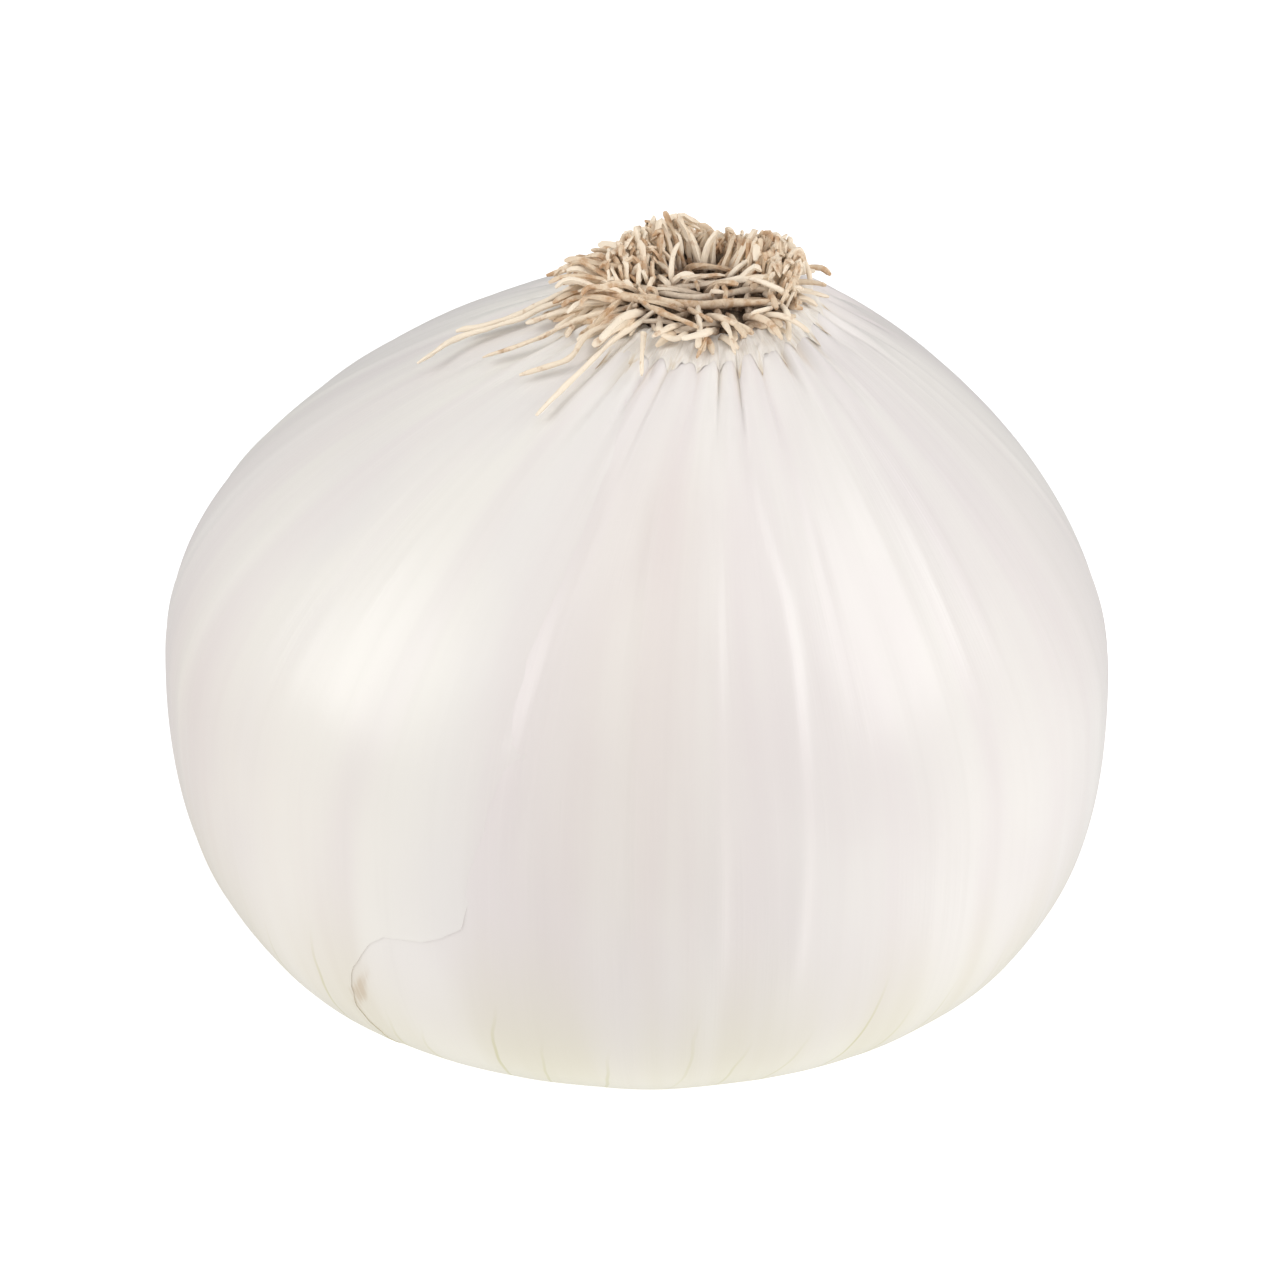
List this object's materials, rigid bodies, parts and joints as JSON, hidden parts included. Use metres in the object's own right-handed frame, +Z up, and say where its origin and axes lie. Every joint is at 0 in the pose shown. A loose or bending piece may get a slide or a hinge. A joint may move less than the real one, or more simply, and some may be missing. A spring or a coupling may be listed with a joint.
{
  "type": "onion",
  "caption": "Whole white onion standing root end up on its trimmed neck, with its root plate and a tangle of dried roots.",
  "frame": {"origin": "middle of the flat cut across the trimmed neck, which the onion stands on", "axes": "+Z up from the neck cut to the root end; -Y faces the front view; +X is the side that the root end leans to"},
  "size_m": [0.088, 0.088, 0.084],
  "materials": {
    "bulb_skin": "satin, dry papery outer skin",
    "root_plate_cork": "matt, corky",
    "dried_root": "matt, dry and fibrous"
  },
  "bodies": {
    "root": {"bulb": "bulb_skin", "root_plate": "root_plate_cork", "root_01": "dried_root", "root_02": "dried_root", "root_03": "dried_root", "root_04": "dried_root", "root_05": "dried_root", "root_06": "dried_root", "root_07": "dried_root", "root_08": "dried_root", "root_09": "dried_root", "root_10": "dried_root", "root_11": "dried_root", "root_12": "dried_root", "root_13": "dried_root", "root_14": "dried_root", "root_15": "dried_root", "root_16": "dried_root", "root_17": "dried_root", "root_18": "dried_root", "root_19": "dried_root", "root_20": "dried_root", "root_21": "dried_root", "root_22": "dried_root", "root_23": "dried_root", "root_24": "dried_root", "root_25": "dried_root", "root_26": "dried_root", "root_27": "dried_root", "root_28": "dried_root", "root_29": "dried_root", "root_30": "dried_root", "root_31": "dried_root", "root_32": "dried_root", "root_33": "dried_root", "root_34": "dried_root", "root_35": "dried_root", "root_36": "dried_root", "root_37": "dried_root", "root_38": "dried_root", "root_39": "dried_root", "root_40": "dried_root", "root_41": "dried_root", "root_42": "dried_root", "root_43": "dried_root", "root_44": "dried_root", "root_45": "dried_root", "root_46": "dried_root", "root_47": "dried_root", "root_48": "dried_root", "root_49": "dried_root", "root_50": "dried_root", "root_51": "dried_root", "root_52": "dried_root", "root_53": "dried_root", "root_54": "dried_root"}
  },
  "joints": []
}
